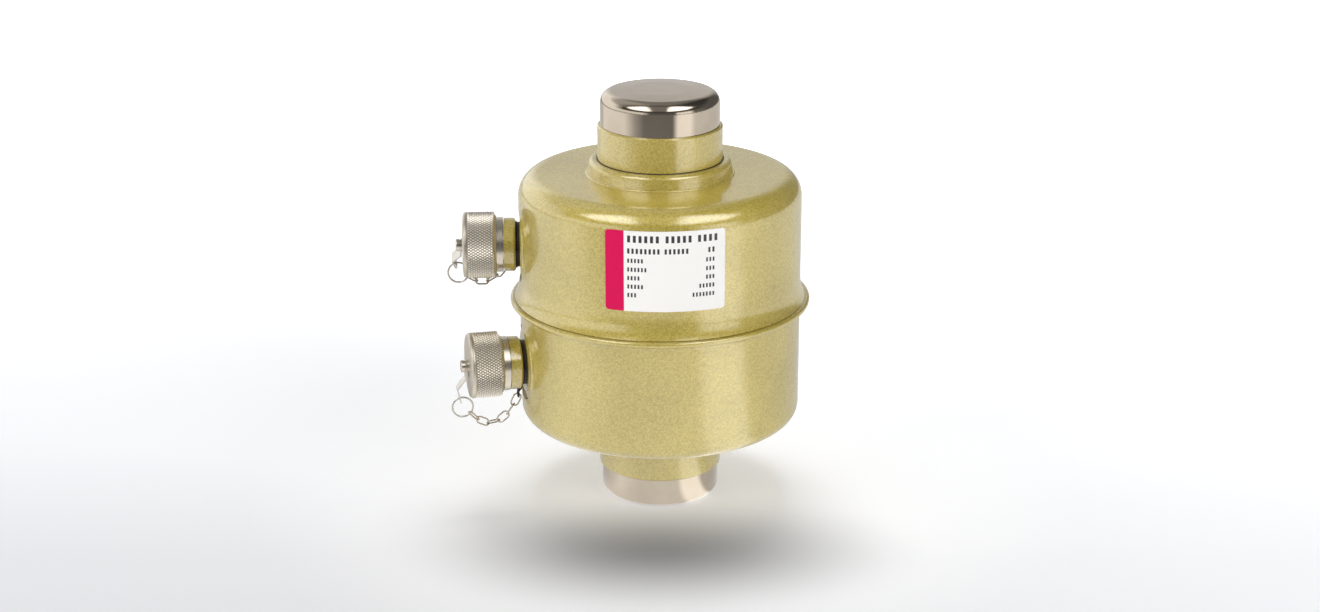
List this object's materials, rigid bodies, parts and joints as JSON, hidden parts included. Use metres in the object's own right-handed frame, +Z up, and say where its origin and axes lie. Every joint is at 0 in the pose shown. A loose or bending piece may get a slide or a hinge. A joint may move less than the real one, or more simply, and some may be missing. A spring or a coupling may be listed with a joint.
{
  "type": "compression load cell",
  "caption": "Column compression load cell: a steel column in a round two-part housing, with screw connectors closed by chained dust caps.",
  "frame": {"origin": "middle of the column's bottom end, where the load leaves the column", "axes": "+Z up along the column, -X towards the connectors, -Y towards the label"},
  "size_m": [0.1297, 0.1068, 0.15],
  "materials": {
    "polished_steel": "polished",
    "gold_paint": "metallic semi-gloss",
    "spring_steel": "rolled",
    "gauge_film": "film",
    "board_laminate": "solder mask",
    "chip_epoxy": "moulded",
    "zinc_plate": "zinc plated",
    "label_film": "printed film",
    "black_rubber": "matt",
    "black_oxide": "black oxide",
    "bright_nickel": "bright nickel",
    "satin_nickel": "satin nickel",
    "insert_plastic": "moulded",
    "contact_gold": "gold plated",
    "tab_steel": "stamped",
    "ring_steel": "drawn wire",
    "chain_steel": "drawn wire"
  },
  "bodies": {
    "housing": {"spring_column": "polished_steel", "upper_sleeve": "gold_paint", "lower_sleeve": "gold_paint", "upper_shell": "gold_paint", "lower_shell": "gold_paint", "upper_neck_ring": "gold_paint", "lower_neck_ring": "gold_paint", "upper_membrane": "spring_steel", "lower_membrane": "spring_steel", "strain_gauges": "gauge_film", "circuit_board": "board_laminate", "board_chips": "chip_epoxy", "board_brackets": "zinc_plate", "board_screws": "zinc_plate", "rating_label": "label_film", "upper_boss": "gold_paint", "upper_seal": "black_rubber", "upper_tether_washer": "black_oxide", "upper_collar": "gold_paint", "upper_receptacle": "bright_nickel", "upper_inner_nut": "zinc_plate", "upper_contact_insert": "insert_plastic", "upper_contact_pins": "contact_gold", "lower_boss": "gold_paint", "lower_seal": "black_rubber", "lower_tether_washer": "black_oxide", "lower_collar": "gold_paint", "lower_receptacle": "bright_nickel", "lower_inner_nut": "zinc_plate", "lower_contact_insert": "insert_plastic", "lower_contact_pins": "contact_gold"},
    "upper_tab": {"upper_swivel_tab": "tab_steel"},
    "upper_cap": {"upper_dust_cap": "satin_nickel", "upper_cap_gasket": "black_rubber", "upper_cap_screw": "bright_nickel"},
    "upper_link_1": {"upper_chain_link_1": "chain_steel"},
    "upper_link_2": {"upper_chain_link_2": "chain_steel"},
    "upper_link_3": {"upper_chain_link_3": "chain_steel"},
    "upper_link_4": {"upper_chain_link_4": "chain_steel"},
    "upper_link_5": {"upper_chain_link_5": "chain_steel"},
    "upper_link_6": {"upper_chain_link_6": "chain_steel"},
    "upper_ring": {"upper_split_ring": "ring_steel"},
    "lower_tab": {"lower_swivel_tab": "tab_steel"},
    "lower_cap": {"lower_dust_cap": "satin_nickel", "lower_cap_gasket": "black_rubber", "lower_cap_screw": "bright_nickel"},
    "lower_link_1": {"lower_chain_link_1": "chain_steel"},
    "lower_link_2": {"lower_chain_link_2": "chain_steel"},
    "lower_link_3": {"lower_chain_link_3": "chain_steel"},
    "lower_link_4": {"lower_chain_link_4": "chain_steel"},
    "lower_link_5": {"lower_chain_link_5": "chain_steel"},
    "lower_link_6": {"lower_chain_link_6": "chain_steel"},
    "lower_ring": {"lower_split_ring": "ring_steel"}
  },
  "joints": [
    {"name": "upper_cap_travel", "type": "slide", "parent": "housing", "child": "upper_tab", "axis": [-0.9986, -0.0523, 0], "range_m": [0, 0.004]},
    {"name": "upper_cap_turn", "type": "hinge", "parent": "upper_tab", "child": "upper_cap", "pos_m": [-0.05782, -0.00303, 0.0941], "axis": [-0.9986, -0.0523, 0], "range_deg": [0, 1440]},
    {"name": "upper_link_1_swing", "type": "hinge", "parent": "housing", "child": "upper_link_1", "pos_m": [-0.05246, 0.00835, 0.08946], "axis": [-0.2268, 0.9699, -0.0883], "range_deg": [0, 23.38]},
    {"name": "upper_link_2_swing", "type": "hinge", "parent": "upper_link_1", "child": "upper_link_2", "pos_m": [-0.05405, 0.00795, 0.08582], "axis": [-0.2454, 0.9694, 0], "range_deg": [-0.96386, 0]},
    {"name": "upper_link_3_swing", "type": "hinge", "parent": "upper_link_2", "child": "upper_link_3", "pos_m": [-0.05606, 0.00744, 0.08239], "axis": [-0.2454, 0.9694, 0], "range_deg": [-4.49, 0]},
    {"name": "upper_link_4_swing", "type": "hinge", "parent": "upper_link_3", "child": "upper_link_4", "pos_m": [-0.05869, 0.00678, 0.07946], "axis": [-0.2454, 0.9694, 0], "range_deg": [-12.01, 0]},
    {"name": "upper_link_5_swing", "type": "hinge", "parent": "upper_link_4", "child": "upper_link_5", "pos_m": [-0.06215, 0.0059, 0.07765], "axis": [-0.2454, 0.9694, 0], "range_deg": [-21.3, 0]},
    {"name": "upper_link_6_swing", "type": "hinge", "parent": "upper_link_5", "child": "upper_link_6", "pos_m": [-0.06602, 0.00492, 0.07791], "axis": [-0.2454, 0.9694, 0], "range_deg": [-18.79, 0]},
    {"name": "upper_ring_swing", "type": "hinge", "parent": "upper_link_6", "child": "upper_ring", "pos_m": [-0.06929, 0.00409, 0.08006], "axis": [-0.2273, 0.972, 0.0592], "range_deg": [0, 34.27]},
    {"name": "lower_cap_travel", "type": "slide", "parent": "housing", "child": "lower_tab", "axis": [-0.9781, -0.2079, 0], "range_m": [0, 0.004]},
    {"name": "lower_cap_turn", "type": "hinge", "parent": "lower_tab", "child": "lower_cap", "pos_m": [-0.05663, -0.01204, 0.0525], "axis": [-0.9781, -0.2079, 0], "range_deg": [0, 1440]},
    {"name": "lower_link_1_swing", "type": "hinge", "parent": "housing", "child": "lower_link_1", "pos_m": [-0.05081, -0.0108, 0.0401], "axis": [-0.2079, 0.9781, 0], "range_deg": [0, 20.21]},
    {"name": "lower_link_2_swing", "type": "hinge", "parent": "lower_link_1", "child": "lower_link_2", "pos_m": [-0.05256, -0.01117, 0.03652], "axis": [-0.2079, 0.9781, 0], "range_deg": [-0.13139, 0]},
    {"name": "lower_link_3_swing", "type": "hinge", "parent": "lower_link_2", "child": "lower_link_3", "pos_m": [-0.05484, -0.01166, 0.03327], "axis": [-0.2079, 0.9781, 0], "range_deg": [-4.94, 0]},
    {"name": "lower_link_4_swing", "type": "hinge", "parent": "lower_link_3", "child": "lower_link_4", "pos_m": [-0.05793, -0.01231, 0.03081], "axis": [-0.2079, 0.9781, 0], "range_deg": [-14.9, 0]},
    {"name": "lower_link_5_swing", "type": "hinge", "parent": "lower_link_4", "child": "lower_link_5", "pos_m": [-0.06179, -0.01313, 0.03018], "axis": [-0.2079, 0.9781, 0], "range_deg": [-18.68, 0]},
    {"name": "lower_link_6_swing", "type": "hinge", "parent": "lower_link_5", "child": "lower_link_6", "pos_m": [-0.06535, -0.01389, 0.03185], "axis": [-0.2079, 0.9781, 0], "range_deg": [-8.29, 0]},
    {"name": "lower_ring_swing", "type": "hinge", "parent": "lower_link_6", "child": "lower_ring", "pos_m": [-0.06801, -0.01446, 0.03478], "axis": [-0.2079, 0.9781, 0], "range_deg": [0, 26.67]}
  ],
  "couplings": [
    {"joint": "upper_cap_travel", "follows": "upper_cap_turn", "m_per_rad": 0.00015915},
    {"joint": "upper_link_1_swing", "follows": "upper_cap_turn", "ratio": 0.016225},
    {"joint": "upper_link_2_swing", "follows": "upper_cap_turn", "ratio": -0.00065546},
    {"joint": "upper_link_3_swing", "follows": "upper_cap_turn", "ratio": -0.0031074},
    {"joint": "upper_link_4_swing", "follows": "upper_cap_turn", "ratio": -0.0083282},
    {"joint": "upper_link_5_swing", "follows": "upper_cap_turn", "ratio": -0.014776},
    {"joint": "upper_link_6_swing", "follows": "upper_cap_turn", "ratio": -0.013038},
    {"joint": "upper_ring_swing", "follows": "upper_cap_turn", "ratio": 0.023787},
    {"joint": "lower_cap_travel", "follows": "lower_cap_turn", "m_per_rad": 0.00015915},
    {"joint": "lower_link_1_swing", "follows": "lower_cap_turn", "ratio": 0.014024},
    {"joint": "lower_link_2_swing", "follows": "lower_cap_turn", "ratio": -0.000077351},
    {"joint": "lower_link_3_swing", "follows": "lower_cap_turn", "ratio": -0.003416},
    {"joint": "lower_link_4_swing", "follows": "lower_cap_turn", "ratio": -0.010332},
    {"joint": "lower_link_5_swing", "follows": "lower_cap_turn", "ratio": -0.012961},
    {"joint": "lower_link_6_swing", "follows": "lower_cap_turn", "ratio": -0.0057433},
    {"joint": "lower_ring_swing", "follows": "lower_cap_turn", "ratio": 0.018505}
  ]
}
